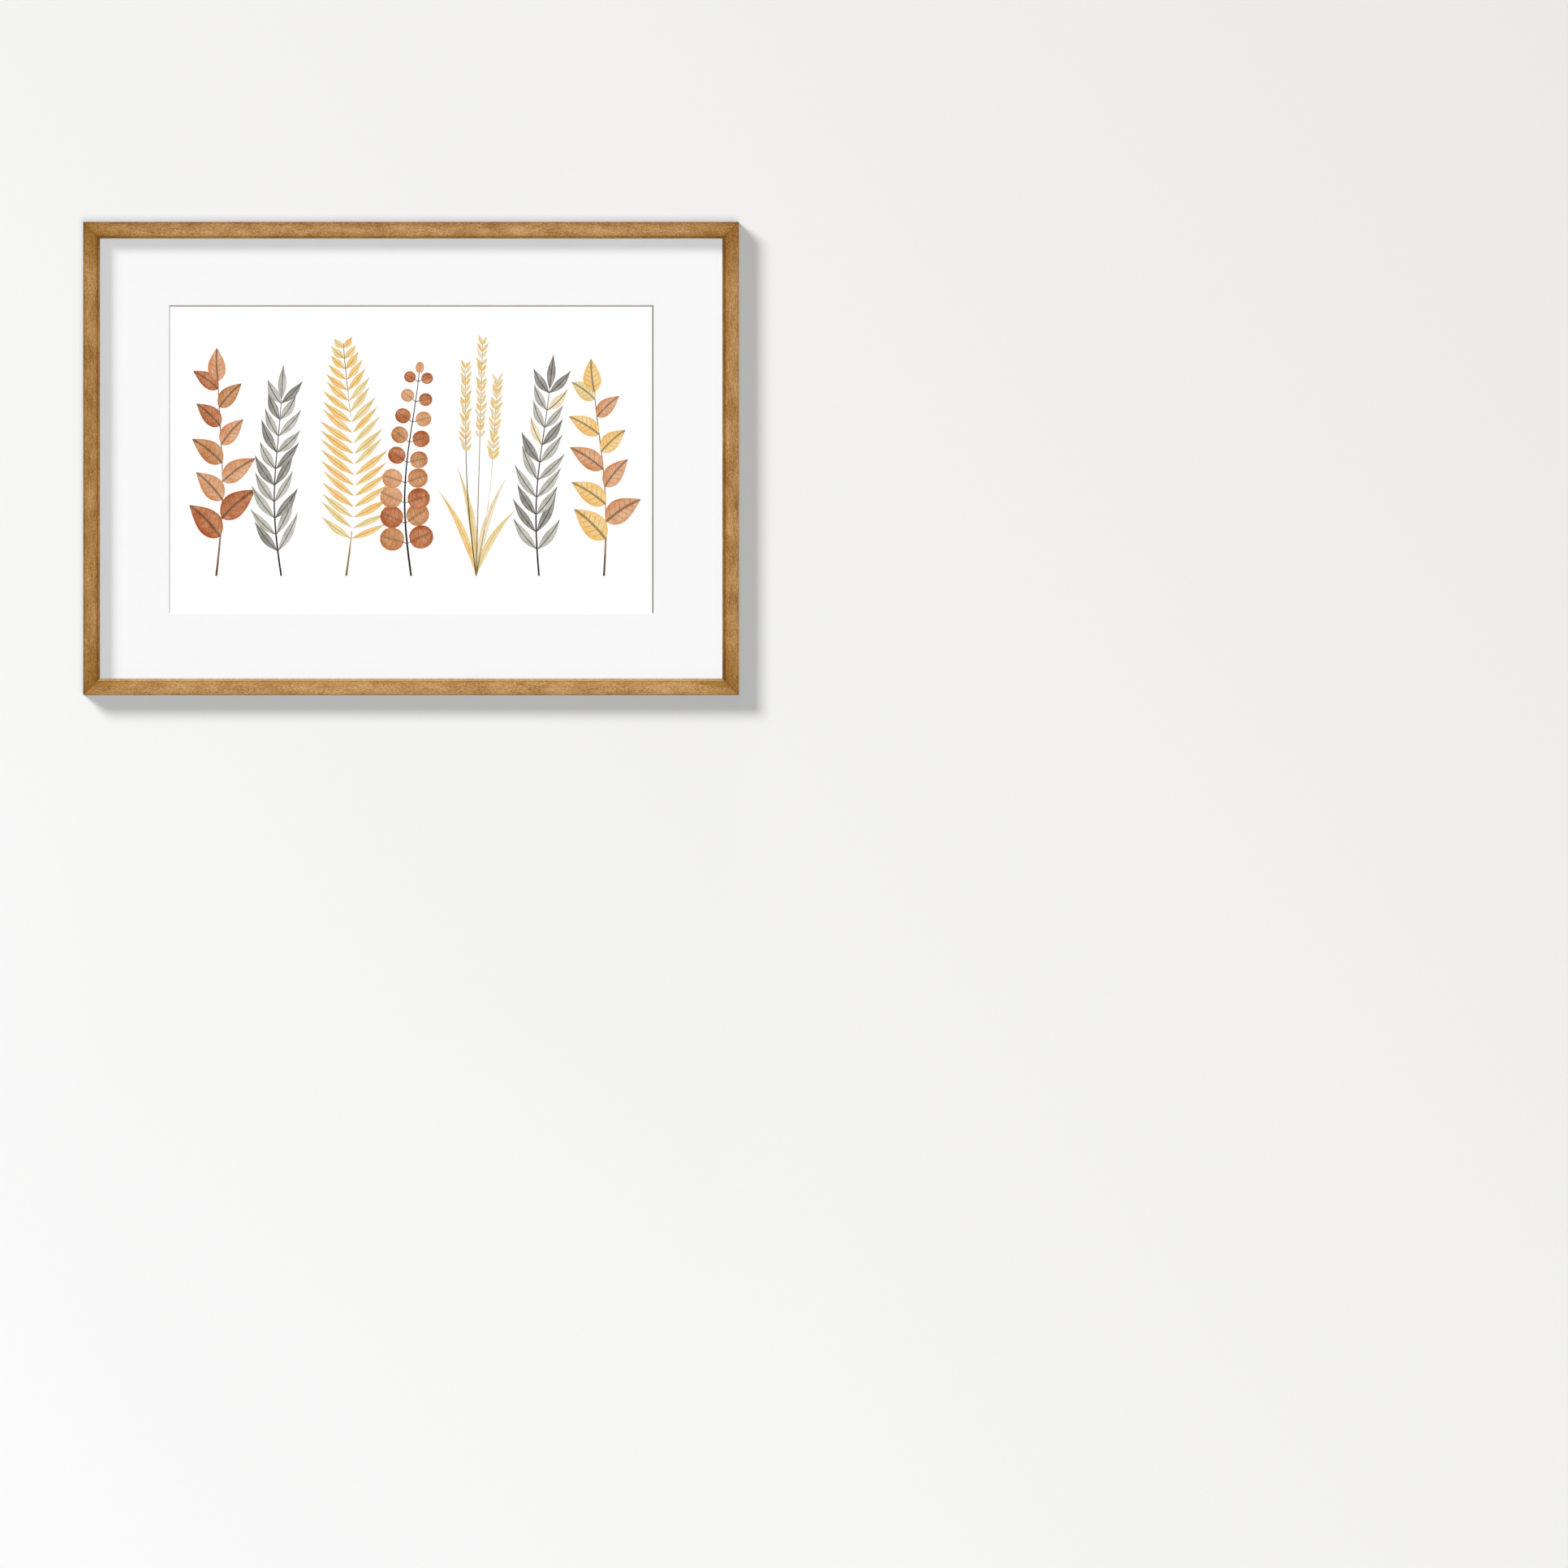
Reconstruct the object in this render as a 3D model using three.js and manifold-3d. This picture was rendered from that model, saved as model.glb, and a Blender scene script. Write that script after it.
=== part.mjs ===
// A framed print that hangs on a wall: a mitred wooden moulding, and in its rebate a clear pane,
// a mat with a bevelled window, a paper print and a backing board that carries two hangers.
// Millimetres. X runs to the right and Z up, and the front faces -Y. The wall is the plane Y = 0.
// The origin is the middle of the top rail's back face, which lies against the wall.
import * as THREE from "three";
import { mergeVertices } from "three/addons/utils/BufferGeometryUtils.js";
import Module from "manifold-3d";

const wasm = await Module();
wasm.setup();

// Driving dimensions of the moulding
const SIGHT_W = 594; // the opening in the wood shows the area of an A2 sheet, lying down
const SIGHT_H = 420;
const FACE = 15.7; // width of the wood, seen from the front
const DEPTH = 26; // from the wall to the front of the wood
const LIP = 5; // how far the wood laps over the pane
const LIP_DEPTH = 13.4; // from the front of the wood to the back of its lip
const EASE = 0.9; // radius of the sanded outer edge
const FILLET_W = 1.9; // the stepped bead along the sight edge
const FILLET_DROP = 0.5; // its top lies this far below the face
const FILLET_R = 0.9; // radius of its rounded edge
const CREASE_W = 0.4; // the groove beside it
const CREASE_DEEP = 0.2; // below the bead's top
const ARC_STEPS = 8; // in each rounded edge

// Driving dimensions of what lies in the rebate
const GAP = 0.3; // clearance between pieces that touch
const PLAY = 1; // room beside and above the panes
const PANE_T = 2;
const MAT_T = 1.5;
const PRINT_T = 0.5;
const BOARD_T = 3;
const WINDOW_W = 462.7; // the mat's window, at the front of its bevel
const WINDOW_H = 294.6;
const WINDOW_LOW = 0.9; // its middle lies this far below the opening's
const SHEET_W = 483; // an A3+ sheet
const SHEET_H = 329;

// Driving dimensions of the metal pieces
const NAIL_WING = 5; // V-nails, driven across each mitre from behind
const NAIL_T = 0.5;
const NAIL_L = 8;
const NAIL_AT = 8; // from the outer edges to the V's spine
const NAIL_SUNK = 0.2;
const POINT_W = 6; // flexible points, driven into the rebate's wall to hold the board
const POINT_T = 0.5;
const POINT_IN = 4;
const POINT_OUT = 10;
const POINTS_LONG = [-200, 0, 200]; // along the top and bottom rails
const POINTS_SHORT = [-105, 105]; // along the side rails
const HANGER_X = 150; // from the middle to each sawtooth hanger
const HANGER_BELOW = 32; // from the rebate's top to the hanger's middle
const HANGER_L = 52;
const HANGER_H = 11;
const HANGER_T = 0.8;
const HANGER_RISE = 1.9; // how far its middle stands off
const HANGER_FOOT = 11; // length of each flat end
const HANGER_RAMP = 2.5;
const TOOTH = 2.4; // pitch of the teeth
const TOOTH_DEEP = 1.6;
const TOOTH_BLUNT = 0.1; // each tip would end this far below the edge that trims it
const TEETH = 9;
const RIVET_X = 20; // from the hanger's middle to each rivet
const RIVET_R = 1.5;
const RIVET_HEAD_R = 3.1;
const RIVET_HEAD_H = 0.9;
const RIVET_FLANGE_T = 0.5;
const RIVET_DOME = [
  // its head's rounding, from its edge inwards, as shares of the head's radius and height
  [0.85, 0.6],
  [0.45, 0.93],
];
const ROUND = 20; // facets of a round piece

// Worked out from these
const OUTER_W = SIGHT_W + 2 * FACE;
const OUTER_H = SIGHT_H + 2 * FACE;
const BACK_W = FACE - LIP; // width of the wood behind its lip
const TOP = BACK_W / 2;
const BOTTOM = TOP - OUTER_H;
const MIDDLE = (TOP + BOTTOM) / 2;
const LIP_BACK = DEPTH - LIP_DEPTH;
const MITRE_SET = (GAP / 2) * Math.SQRT2; // along the rail, at each end
const PANE_W = SIGHT_W + 2 * LIP - 2 * PLAY;
const PANE_H = SIGHT_H + 2 * LIP - PLAY - GAP; // the panes stand on the bottom rail
const PANE_Z = BOTTOM + BACK_W + GAP + PANE_H / 2;

// Distances from the wall to the front of each layer
const PANE_FRONT = LIP_BACK - GAP;
const MAT_FRONT = PANE_FRONT - PANE_T - GAP;
const PRINT_FRONT = MAT_FRONT - MAT_T - GAP;
const BOARD_FRONT = PRINT_FRONT - PRINT_T - GAP;
const BOARD_BACK = BOARD_FRONT - BOARD_T;
const OVER = 1; // how far a cutter runs past the face that it cuts
const SAME = 1e-4; // corners closer than this are one

const FINISHES = {
  wood: { color: 0xb28855, roughness: 0.5, metalness: 0 },
  clear: { color: 0xf4f7f6, roughness: 0.05, metalness: 0, transparent: true, opacity: 0.2 },
  mat: { color: 0xf7f7f7, roughness: 0.9, metalness: 0 },
  paper: { color: 0xffffff, roughness: 0.85, metalness: 0 },
  board: { color: 0x9a7b58, roughness: 0.8, metalness: 0 },
  steel: { color: 0x9b9d9e, roughness: 0.4, metalness: 0.9 },
};

const group = new THREE.Group();

function add(parent, name, geometry, finish) {
  const mesh = new THREE.Mesh(geometry, new THREE.MeshStandardMaterial(FINISHES[finish]));
  mesh.name = name;
  parent.add(mesh);
  return mesh;
}

// A closed three.js geometry as a solid that can be joined and cut
function solid(geometry) {
  const bare = geometry.clone();
  bare.deleteAttribute("normal");
  bare.deleteAttribute("uv");
  const merged = mergeVertices(bare, SAME);
  return new wasm.Manifold(
    new wasm.Mesh({
      numProp: 3,
      vertProperties: new Float32Array(merged.attributes.position.array),
      triVerts: new Uint32Array(merged.index.array),
    }),
  );
}

// The same solid as a geometry again
function geometryOf(shape) {
  const mesh = shape.getMesh();
  const geometry = new THREE.BufferGeometry();
  geometry.setAttribute("position", new THREE.BufferAttribute(mesh.vertProperties, 3));
  geometry.setIndex(new THREE.BufferAttribute(mesh.triVerts, 1));
  geometry.computeVertexNormals();
  return geometry;
}

function outline(points) {
  return new THREE.Shape(points.map(([x, y]) => new THREE.Vector2(x, y)));
}

// A flat outline in X and Z, given its thickness along Y from one distance to another
function plate(shape, fromY, toY) {
  const geometry = new THREE.ExtrudeGeometry(shape, { depth: toY - fromY, bevelEnabled: false });
  return geometry.rotateX(Math.PI / 2).translate(0, toY, 0);
}

function box(width, thick, height, x, frontY, z) {
  return new THREE.BoxGeometry(width, thick, height).translate(x, frontY + thick / 2, z);
}

// The moulding's section: across the rail from its outer edge, and out from the wall
function section() {
  const bead = FACE - FILLET_W;
  const beadTop = DEPTH - FILLET_DROP;
  const shape = new THREE.Shape();
  shape.moveTo(0, 0);
  shape.lineTo(BACK_W, 0);
  shape.lineTo(BACK_W, LIP_BACK);
  shape.lineTo(FACE, LIP_BACK);
  shape.lineTo(FACE, beadTop - FILLET_R);
  shape.absarc(FACE - FILLET_R, beadTop - FILLET_R, FILLET_R, 0, Math.PI / 2, false);
  shape.lineTo(bead + CREASE_W, beadTop);
  shape.lineTo(bead + CREASE_W / 2, beadTop - CREASE_DEEP);
  shape.lineTo(bead, DEPTH);
  shape.lineTo(EASE, DEPTH);
  shape.absarc(EASE, DEPTH - EASE, EASE, Math.PI / 2, Math.PI, false);
  shape.closePath();
  return shape;
}

// A V-nail's outline at a rail's left end, measured from the frame's outer corner
function nailOutline(grow) {
  const inner = NAIL_AT + NAIL_T / 2 + grow;
  const outer = NAIL_AT - NAIL_T / 2 - grow;
  const tip = NAIL_AT - NAIL_WING - grow;
  return outline([
    [tip, outer],
    [outer, outer],
    [outer, tip],
    [inner, tip],
    [inner, inner],
    [tip, inner],
  ]);
}

function pointOutline(grow) {
  const half = POINT_W / 2 + grow;
  const root = BACK_W - POINT_IN - grow;
  const end = BACK_W + POINT_OUT;
  const shape = new THREE.Shape();
  shape.moveTo(-half / 2, root);
  shape.lineTo(half / 2, root);
  shape.lineTo(half, BACK_W);
  shape.lineTo(half, end - half);
  shape.absarc(0, end - half, half, 0, Math.PI, false);
  shape.lineTo(-half, BACK_W);
  shape.closePath();
  return shape;
}

const POINT_BACK = BOARD_BACK - GAP - POINT_T; // from the wall

// A rail lies along X with its outer edge at Z = 0 and its sight edge above, and is mitred by
// shifting each end by the distance across the rail.
function railGeometry(length, points) {
  const bar = new THREE.ExtrudeGeometry(section(), {
    depth: 1,
    bevelEnabled: false,
    curveSegments: ARC_STEPS,
  });
  const at = bar.attributes.position;
  for (let i = 0; i < at.count; i += 1) {
    const across = at.getX(i);
    const out = at.getY(i);
    const end = length / 2 - across - MITRE_SET;
    at.setXYZ(i, at.getZ(i) > 0.5 ? end : -end, -out, across);
  }
  let rail = solid(bar);
  const slot = plate(nailOutline(GAP), -NAIL_L - NAIL_SUNK - GAP, OVER);
  const left = solid(slot.translate(-length / 2, 0, 0));
  rail = rail.subtract(left).subtract(left.mirror([1, 0, 0]));
  for (const x of points) {
    const pocket = plate(pointOutline(GAP), -POINT_BACK - POINT_T - GAP, -POINT_BACK + GAP);
    rail = rail.subtract(solid(pocket.translate(x, 0, 0)));
  }
  return geometryOf(rail);
}

// Four rails, each in a group with the points that are driven into it
const RAILS = [
  { side: "bottom", length: OUTER_W, points: POINTS_LONG, turn: 0, x: 0, z: BOTTOM },
  { side: "left", length: OUTER_H, points: POINTS_SHORT, turn: 1, x: -OUTER_W / 2, z: MIDDLE },
  { side: "top", length: OUTER_W, points: POINTS_LONG, turn: 2, x: 0, z: TOP },
  { side: "right", length: OUTER_H, points: POINTS_SHORT, turn: 3, x: OUTER_W / 2, z: MIDDLE },
];
for (const { side, length, points, turn, x, z } of RAILS) {
  const rail = new THREE.Group();
  rail.rotation.y = (turn * Math.PI) / 2;
  rail.position.set(x, 0, z);
  add(rail, `rail_${side}`, railGeometry(length, points), "wood");
  points.forEach((along, i) => {
    const strip = plate(pointOutline(0), -POINT_BACK - POINT_T, -POINT_BACK);
    add(rail, `flexible_point_${side}_${i + 1}`, strip, "steel").position.x = along;
  });
  group.add(rail);
}

// A V-nail across each mitre, sunk just below the back of the wood
const CORNERS = [
  { name: "bottom_left", turn: 0, x: -OUTER_W / 2, z: BOTTOM },
  { name: "top_left", turn: 1, x: -OUTER_W / 2, z: TOP },
  { name: "top_right", turn: 2, x: OUTER_W / 2, z: TOP },
  { name: "bottom_right", turn: 3, x: OUTER_W / 2, z: BOTTOM },
];
for (const { name, turn, x, z } of CORNERS) {
  const nail = plate(nailOutline(0), -NAIL_L - NAIL_SUNK, -NAIL_SUNK);
  const mesh = add(group, `corner_nail_${name}`, nail, "steel");
  mesh.rotation.y = (turn * Math.PI) / 2;
  mesh.position.set(x, 0, z);
}

// The mat's window is cut at 45 degrees, so it is wider at the front
function matGeometry() {
  const board = solid(box(PANE_W, MAT_T, PANE_H, 0, -MAT_FRONT, PANE_Z));
  const cutter = new THREE.BoxGeometry(1, 1, 1);
  const at = cutter.attributes.position;
  for (let i = 0; i < at.count; i += 1) {
    const behind = at.getY(i) > 0 ? MAT_T + OVER : -OVER;
    at.setXYZ(
      i,
      Math.sign(at.getX(i)) * (WINDOW_W / 2 - behind),
      behind - MAT_FRONT,
      Math.sign(at.getZ(i)) * (WINDOW_H / 2 - behind) + MIDDLE - WINDOW_LOW,
    );
  }
  return geometryOf(board.subtract(solid(cutter)));
}

add(group, "glazing_pane", box(PANE_W, PANE_T, PANE_H, 0, -PANE_FRONT, PANE_Z), "clear");
add(group, "window_mat", matGeometry(), "mat");
add(group, "print_sheet", box(SHEET_W, PRINT_T, SHEET_H, 0, -PRINT_FRONT, MIDDLE), "paper");

// A rivet's hole through the hanger and the board, with a sinking for its flange at the front
const HANGER_Z = TOP - BACK_W - HANGER_BELOW;
const SINK = RIVET_FLANGE_T + 2 * GAP;

function disc(radius, fromY, toY) {
  const height = toY - fromY;
  return new THREE.CylinderGeometry(radius, radius, height, ROUND).translate(0, fromY + height / 2, 0);
}

function rivetHole() {
  const shank = solid(disc(RIVET_R + GAP, -BOARD_FRONT - OVER, -BOARD_BACK + DEPTH));
  const flange = solid(disc(RIVET_HEAD_R + GAP, -BOARD_FRONT - OVER, -BOARD_FRONT + SINK));
  return shank.add(flange);
}

let board = solid(box(PANE_W, BOARD_T, PANE_H, 0, -BOARD_FRONT, PANE_Z));
for (const side of [-1, 1]) {
  for (const end of [-1, 1]) {
    board = board.subtract(rivetHole().translate([side * HANGER_X + end * RIVET_X, 0, HANGER_Z]));
  }
}
add(group, "backing_board", geometryOf(board), "board");

// A sawtooth hanger: a strip whose middle stands off the board, with teeth along its lower edge
function hangerGeometry() {
  const half = HANGER_L / 2;
  const foot = half - HANGER_FOOT;
  const flat = foot - HANGER_RAMP;
  const low = -BOARD_BACK + GAP;
  const high = low + HANGER_RISE;
  const bent = outline([
    [-half, low],
    [-foot, low],
    [-flat, high],
    [flat, high],
    [foot, low],
    [half, low],
    [half, low + HANGER_T],
    [foot, low + HANGER_T],
    [flat, high + HANGER_T],
    [-flat, high + HANGER_T],
    [-foot, low + HANGER_T],
    [-half, low + HANGER_T],
  ]);
  const strip = new THREE.ExtrudeGeometry(bent, { depth: HANGER_H, bevelEnabled: false });
  const edge = -HANGER_H / 2;
  const first = (-TEETH / 2) * TOOTH;
  const row = [
    [-half - OVER, edge - OVER],
    [first, edge - OVER],
  ];
  for (let i = 0; i < TEETH; i += 1) {
    const start = first + i * TOOTH;
    row.push([start, edge - TOOTH_BLUNT], [start + TOOTH / 2, edge + TOOTH_DEEP]);
  }
  row.push([-first, edge - TOOTH_BLUNT], [-first, edge - OVER], [half + OVER, edge - OVER]);
  row.push([half + OVER, -edge + OVER], [-half - OVER, -edge + OVER]);
  const teeth = solid(plate(outline(row), -BOARD_BACK, 0));
  let hanger = solid(strip.translate(0, 0, edge)).intersect(teeth);
  for (const end of [-1, 1]) {
    hanger = hanger.subtract(rivetHole().translate([end * RIVET_X, 0, 0]));
  }
  return geometryOf(hanger);
}

// A rivet, turned about Y: the flange in the board, the shank and the domed head on the hanger
function rivetGeometry() {
  const flange = -BOARD_FRONT + GAP;
  const head = -BOARD_BACK + GAP + HANGER_T + GAP;
  return new THREE.LatheGeometry(
    [
      new THREE.Vector2(0, flange),
      new THREE.Vector2(RIVET_HEAD_R, flange),
      new THREE.Vector2(RIVET_HEAD_R, flange + RIVET_FLANGE_T),
      new THREE.Vector2(RIVET_R, flange + RIVET_FLANGE_T),
      new THREE.Vector2(RIVET_R, head),
      new THREE.Vector2(RIVET_HEAD_R, head),
      ...RIVET_DOME.map(([r, h]) => new THREE.Vector2(RIVET_HEAD_R * r, head + RIVET_HEAD_H * h)),
      new THREE.Vector2(0, head + RIVET_HEAD_H),
    ],
    ROUND,
  );
}

for (const { name, side } of [{ name: "left", side: -1 }, { name: "right", side: 1 }]) {
  const place = new THREE.Group();
  place.position.set(side * HANGER_X, 0, HANGER_Z);
  add(place, `hanger_${name}`, hangerGeometry(), "steel");
  add(place, `rivet_${name}_1`, rivetGeometry(), "steel").position.x = -RIVET_X;
  add(place, `rivet_${name}_2`, rivetGeometry(), "steel").position.x = RIVET_X;
  group.add(place);
}

export default group;
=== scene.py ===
"""A framed print on a wall: a brown stained moulding, clear glazing, a bevelled mat and a paper print,
with its backing board and hangers behind. Metres, X to the right, Z up, and the front faces -Y."""
import math
import random
from functools import partial

import bmesh
import bpy
from mathutils import Matrix, Vector, noise
from mathutils.geometry import delaunay_2d_cdt


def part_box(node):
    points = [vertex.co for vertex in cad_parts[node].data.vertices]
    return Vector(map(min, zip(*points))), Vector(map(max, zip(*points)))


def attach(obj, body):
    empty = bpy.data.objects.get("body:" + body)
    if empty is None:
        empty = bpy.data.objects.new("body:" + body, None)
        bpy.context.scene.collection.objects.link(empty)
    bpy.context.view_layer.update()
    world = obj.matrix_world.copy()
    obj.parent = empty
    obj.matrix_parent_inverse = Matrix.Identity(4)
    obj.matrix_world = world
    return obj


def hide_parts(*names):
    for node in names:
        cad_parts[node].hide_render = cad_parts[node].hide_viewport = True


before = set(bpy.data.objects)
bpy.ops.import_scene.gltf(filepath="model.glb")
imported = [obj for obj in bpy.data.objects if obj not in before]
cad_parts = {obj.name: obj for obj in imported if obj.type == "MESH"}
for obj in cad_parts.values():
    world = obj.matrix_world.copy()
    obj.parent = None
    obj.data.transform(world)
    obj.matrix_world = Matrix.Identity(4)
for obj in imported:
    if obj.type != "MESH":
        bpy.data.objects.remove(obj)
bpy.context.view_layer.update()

MM = 0.001

# Camera
# A long lens held square to the wall, because the photograph shows no perspective. Its axis meets the
# wall at the middle of the photograph, so the frame hangs in the upper left quarter of the picture.
PHOTO_PIXELS = 1932
SIGHT_LEFT_PX, SIGHT_RIGHT_PX = 122.6, 890.2  # the opening in the wood, in the photograph
SIGHT_TOP_PX, SIGHT_BOTTOM_PX = 293.7, 836.0
LENS_MM, SENSOR_MM = 1000, 36

sight_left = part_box("rail_left")[1][0]
sight_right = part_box("rail_right")[0][0]
sight_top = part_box("rail_top")[0][2]
sight_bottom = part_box("rail_bottom")[1][2]
front_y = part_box("rail_top")[0][1]
centre_x = (sight_left + sight_right) / 2
centre_z = (sight_top + sight_bottom) / 2

metres_per_pixel = (
    (sight_right - sight_left) / (SIGHT_RIGHT_PX - SIGHT_LEFT_PX)
    + (sight_top - sight_bottom) / (SIGHT_BOTTOM_PX - SIGHT_TOP_PX)
) / 2
to_right = PHOTO_PIXELS / 2 - (SIGHT_LEFT_PX + SIGHT_RIGHT_PX) / 2
to_below = PHOTO_PIXELS / 2 - (SIGHT_TOP_PX + SIGHT_BOTTOM_PX) / 2
distance = PHOTO_PIXELS * metres_per_pixel * LENS_MM / SENSOR_MM

lens = bpy.data.cameras.new("long_lens")
lens.lens = LENS_MM
lens.sensor_width = SENSOR_MM
lens.clip_end = 300
camera = bpy.data.objects.new("camera", lens)
camera.location = (
    centre_x + to_right * metres_per_pixel,
    front_y - distance,
    centre_z - to_below * metres_per_pixel,
)
camera.rotation_euler = (math.radians(90), 0, 0)
bpy.context.scene.collection.objects.link(camera)
bpy.context.scene.camera = camera


# Wall and floor
# A matt painted wall that the frame hangs flat against, and a pale floor below. Neither is part of the
# object. The wall is see-through from behind, so that the back of the frame can be looked at too.
WALL_HALF_WIDTH, WALL_HEIGHT = 4.0, 4.2
WALL_LIGHT, WALL_DARK = 0xEDEDED, 0xDEDDDB
DARKER_FROM, DARKER_TO = -1.8, 1.7  # metres of 1.4 x + z, between the most and the least painted light
FLOOR_PAINT = 0xDEDDDA
FLOOR_BELOW = 1.75  # from the hanging point down to the floor
FLOOR_DEPTH = 6.0
BEHIND = 0.0004  # keeps the wall clear of the wood


def linear(colour):
    """An sRGB hex value, such as 0xB28855, as linear red, green and blue."""
    parts = [((colour >> shift) & 255) / 255 for shift in (16, 8, 0)]
    return [c / 12.92 if c <= 0.04045 else ((c + 0.055) / 1.055) ** 2.4 for c in parts]


def rgba(colour):
    """The same with an alpha of 1, as a colour socket takes it."""
    return (*linear(colour), 1.0)


def add_node(tree, kind, inputs=(), stops=(), **settings):
    """Adds a node, named without its family, with its settings, a ramp's stops and its inputs. These are
    values, sockets to link or lists of sockets, in order or by name. Gives the node's outputs."""
    families = ("ShaderNode", "GeometryNode", "FunctionNode", "")
    made = tree.nodes.new(next(f + kind for f in families if hasattr(bpy.types, f + kind)))
    for name, value in settings.items():
        setattr(made, name, value)
    for at, colour in stops:
        made.color_ramp.elements.new(at).color = rgba(colour)
    for end in (-1, 0) if stops else ():
        made.color_ramp.elements.remove(made.color_ramp.elements[end])
    for name, given in inputs.items() if isinstance(inputs, dict) else enumerate(inputs):
        for each in given if isinstance(given, list) else [given]:
            if isinstance(each, bpy.types.NodeSocket):
                tree.links.new(each, made.inputs[name])
            else:
                made.inputs[name].default_value = each
    return made.outputs


def new_material(name):
    """An empty material, and add_node for its tree."""
    material = bpy.data.materials.new(name)
    material.use_nodes = True
    material.node_tree.nodes.clear()
    return material, partial(add_node, material.node_tree)


def wall_paint():
    """Matt emulsion with painted light over it, a little lighter towards the lower left, as in the
    photograph.
    """
    material, add = new_material("matt emulsion")
    split = add("SeparateXYZ", [add("TexCoord")["Object"]])
    slope = add("Math", [split["X"], 1.4, split["Z"]], operation="MULTIPLY_ADD")[0]
    share = add("MapRange", [slope, DARKER_FROM, DARKER_TO])[0]
    # painted light: the paint is mixed lighter towards the lower left and darker towards the upper right
    paint_under_painted_light = add("Mix", {0: share, 6: rgba(WALL_LIGHT), 7: rgba(WALL_DARK)}, data_type="RGBA")
    matt = add("BsdfDiffuse", {"Color": paint_under_painted_light[2]})
    clear = add("BsdfTransparent")
    one_sided = add("MixShader", [add("NewGeometry")["Backfacing"], matt[0], clear[0]])
    add("OutputMaterial", [one_sided[0]])
    return material


def floor_screed():
    """Pale sealed screed, which reads as an even matt white."""
    material, add = new_material("pale screed")
    matt = add("BsdfDiffuse", {"Color": rgba(FLOOR_PAINT)})
    add("OutputMaterial", [matt[0]])
    return material


floor_z = -FLOOR_BELOW
room_sides = []
for name, finish, near, far in (
    ("wall", wall_paint(), (BEHIND, floor_z), (BEHIND, floor_z + WALL_HEIGHT)),
    ("floor", floor_screed(), (-FLOOR_DEPTH, floor_z), (FLOOR_DEPTH, floor_z)),
):
    ends = (-WALL_HALF_WIDTH, *near), (WALL_HALF_WIDTH, *near), (WALL_HALF_WIDTH, *far)
    mesh = bpy.data.meshes.new(name)
    mesh.from_pydata([*ends, (-WALL_HALF_WIDTH, *far)], [], [(0, 1, 2, 3)])
    mesh.materials.append(finish)
    made = bpy.data.objects.new(name, mesh)
    bpy.context.scene.collection.objects.link(made)
    made.visible_shadow = False
    made.visible_diffuse = False
    room_sides.append(made)
wall, floor = room_sides
wall.visible_glossy = False


# Light
# A soft key from the upper left throws the frame's shadow to the right and down, a lower lamp gives the
# thin halo of shade, and a fill shines straight on. The wall and the object get their own share of each.
KEY_TOWARDS = (0.87, 1.0, -0.75)  # the shadow's offset beside the frame's depth, in the photograph
KEY_SPREAD = 19  # degrees, for the width of the shadow's soft edge
MAT_KEY_TOWARDS = (0.92, 1.0, -0.79)  # the same from the shadow that lies on the mat
LOW_TOWARDS = (-0.07, 1.0, 0.15)  # gives the thin halo of shade above and left of the frame
ROOM_LIGHT = 0.10
ROOM_SEEN = 0xEDECEA  # what the camera sees past the wall and the floor
MIRRORED_FLOOR, MIRRORED_CEILING = 0.60, 1.0

stage_only = bpy.data.collections.new("lit_stage")
object_only = bpy.data.collections.new("lit_object")
metal_only = bpy.data.collections.new("lit_metal")  # the pieces on the back join it as they are made
for piece in (wall, floor):
    stage_only.objects.link(piece)
    object_only.objects.link(piece)
for member in object_only.collection_objects:
    member.light_linking.link_state = "EXCLUDE"

SUNS = (
    # name, the way it shines, strength, spread in degrees, what it lights and whether it is mirrored
    ("key_on_wall", KEY_TOWARDS, 2.63, KEY_SPREAD, stage_only, True),
    ("low_on_wall", LOW_TOWARDS, 1.00, 17, stage_only, True),
    ("fill_on_wall", (0, 1, 0), 0.52, 4, stage_only, True),
    ("light_on_floor", (0, 0, -1), 2.1, 10, stage_only, True),
    ("key_on_object", MAT_KEY_TOWARDS, 2.12, KEY_SPREAD, object_only, True),
    ("fill_on_object", (0, 1, 0), 2.14, 4, object_only, False),
    ("side_light", (-1, 0, -0.15), 2.5, 10, object_only, False),
    ("back_light", (0.5, -1.0, -0.35), 3.2, 30, object_only, False),
    ("back_glint", (-0.35, -1.0, -0.1), 1.2, 40, metal_only, True),
)
for name, towards, strength, spread, receivers, glints in SUNS:
    lamp = bpy.data.lights.new(name, "SUN")
    lamp.energy = strength
    lamp.angle = math.radians(spread)
    sun = bpy.data.objects.new(name, lamp)
    sun.rotation_euler = Vector(towards).to_track_quat("-Z", "Y").to_euler()
    sun.visible_glossy = glints
    sun.light_linking.receiver_collection = receivers
    bpy.context.scene.collection.objects.link(sun)

# Metal and lacquer on the back mirror a bright room, as they would when the frame is taken down.
room = bpy.data.worlds.new("even room")
bpy.context.scene.world = room
room.use_nodes = True
room.node_tree.nodes.clear()
add = partial(add_node, room.node_tree)
dim = add("Background", [(1, 1, 1, 1), ROOM_LIGHT])
seen = add("Background", [rgba(ROOM_SEEN), 1.0])
ray = add("LightPath")
around = add("SeparateXYZ", [add("TexCoord")["Generated"]])
behind_wall = add("MapRange", [around["Y"], -0.1, 0.5])[0]
towards_ceiling = add("MapRange", [around["Z"], -0.5, 0.5, MIRRORED_FLOOR, MIRRORED_CEILING])[0]
bright = add("Background", [(1, 1, 1, 1), towards_ceiling])
mirrored = add("Math", [behind_wall, ray["Is Glossy Ray"]], operation="MULTIPLY")[0]
lit = add("MixShader", [mirrored, dim[0], bright[0]])[0]
backdrop = add("MixShader", [ray["Is Camera Ray"], lit, seen[0]])
add("OutputWorld", [backdrop[0]])
bpy.context.scene.view_settings.view_transform = "Standard"


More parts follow.
